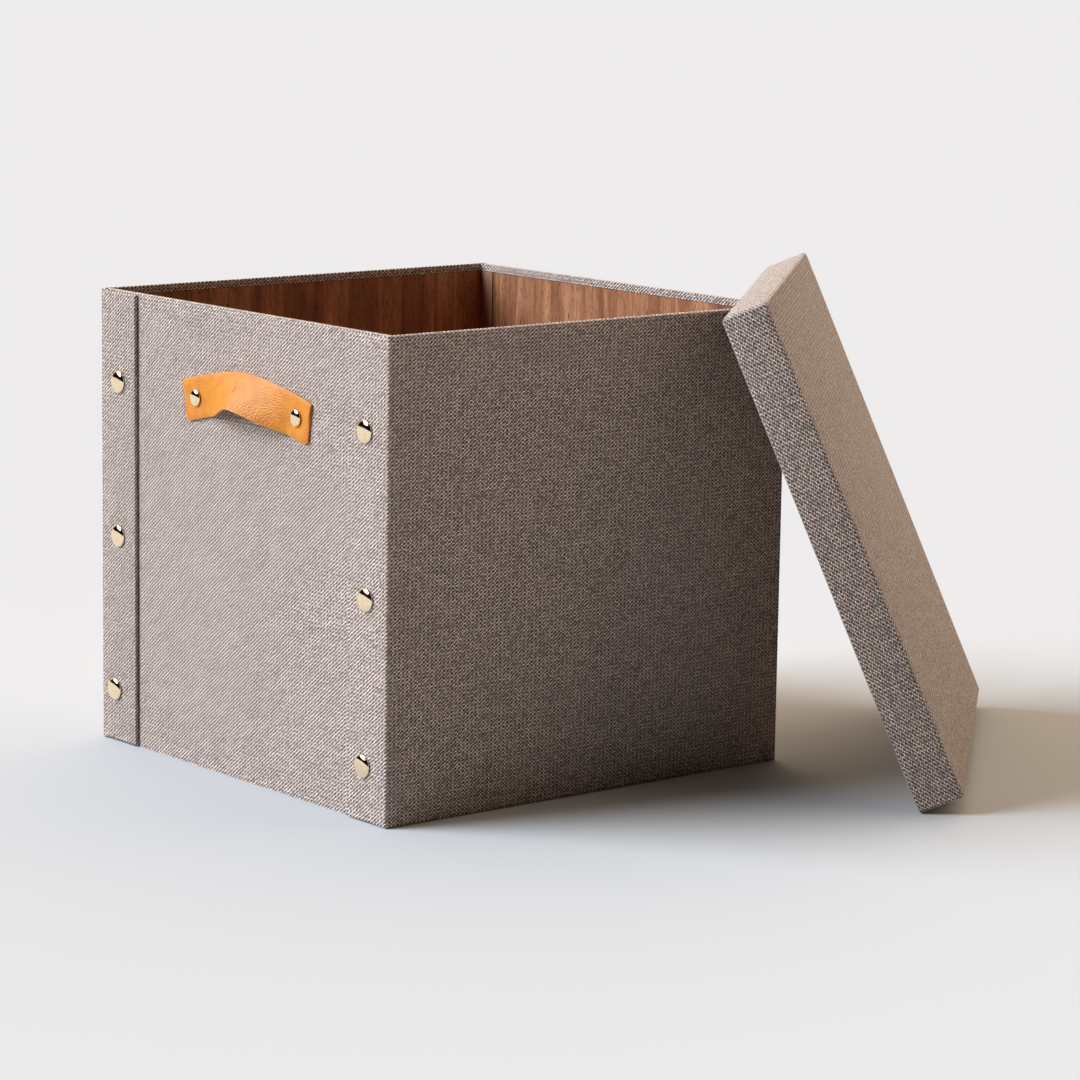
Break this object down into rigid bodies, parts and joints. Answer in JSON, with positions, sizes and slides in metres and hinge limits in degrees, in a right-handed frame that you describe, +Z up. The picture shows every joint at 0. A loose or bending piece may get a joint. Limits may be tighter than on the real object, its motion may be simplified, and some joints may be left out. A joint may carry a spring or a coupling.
{
  "type": "fabric storage bin",
  "caption": "Square fabric-covered storage bin with riveted corner flaps, leather strap handles, wood-print lining, loose floor panel and a shallow lid leaning on one corner.",
  "frame": {"origin": "centre of the bin's underside, on the ground", "axes": "+Z up; +X along the long front wall, from the left end wall to the right one; -Y out of the front wall; the lid leans on the front right corner"},
  "size_m": [0.5654, 0.4966, 0.3161],
  "materials": {
    "twill": "melange twill, matt",
    "greyboard": "raw greyboard",
    "walnut_paper": "walnut print, satin",
    "lining_paper": "plain, matt",
    "leather": "fine pebble grain, satin",
    "brass": "polished"
  },
  "bodies": {
    "bin": {"back_left_cap_1": "brass", "back_left_cap_2": "brass", "back_left_cap_3": "brass", "back_left_corner_strip": "walnut_paper", "back_left_flap_board": "greyboard", "back_left_flap_cover": "twill", "back_right_cap_1": "brass", "back_right_cap_2": "brass", "back_right_cap_3": "brass", "back_right_corner_strip": "walnut_paper", "back_right_flap_board": "greyboard", "back_right_flap_cover": "twill", "back_wall_board": "greyboard", "back_wall_cover": "twill", "back_wall_lining": "walnut_paper", "base_board": "greyboard", "base_cover": "twill", "front_left_cap_1": "brass", "front_left_cap_2": "brass", "front_left_cap_3": "brass", "front_left_corner_strip": "walnut_paper", "front_left_flap_board": "greyboard", "front_left_flap_cover": "twill", "front_right_cap_1": "brass", "front_right_cap_2": "brass", "front_right_cap_3": "brass", "front_right_corner_strip": "walnut_paper", "front_right_flap_board": "greyboard", "front_right_flap_cover": "twill", "front_wall_board": "greyboard", "front_wall_cover": "twill", "front_wall_lining": "walnut_paper", "left_handle_rivet_1": "brass", "left_handle_rivet_2": "brass", "left_handle_strap": "leather", "left_wall_board": "greyboard", "left_wall_cover": "twill", "left_wall_lining": "walnut_paper", "right_handle_rivet_1": "brass", "right_handle_rivet_2": "brass", "right_handle_strap": "leather", "right_wall_board": "greyboard", "right_wall_cover": "twill", "right_wall_lining": "walnut_paper"},
    "floor_panel": {"floor_panel_board": "greyboard", "floor_panel_lining": "walnut_paper"},
    "lid": {"lid_foot_skirt_board": "greyboard", "lid_foot_skirt_cover": "twill", "lid_head_skirt_board": "greyboard", "lid_head_skirt_cover": "twill", "lid_left_skirt_board": "greyboard", "lid_left_skirt_cover": "twill", "lid_lining": "lining_paper", "lid_right_skirt_board": "greyboard", "lid_right_skirt_cover": "twill", "lid_top_board": "greyboard", "lid_top_cover": "twill"}
  },
  "joints": [
    {"name": "floor_panel_slide", "type": "slide", "parent": "bin", "child": "floor_panel", "axis": [0, 0, 1], "range_m": [0, 0.28]},
    {"name": "lid_tip", "type": "hinge", "parent": "bin", "child": "lid", "pos_m": [0.25088, -0.20895, 0], "axis": [0.7338, 0.6793, 0], "range_deg": [0, 23.2]}
  ]
}
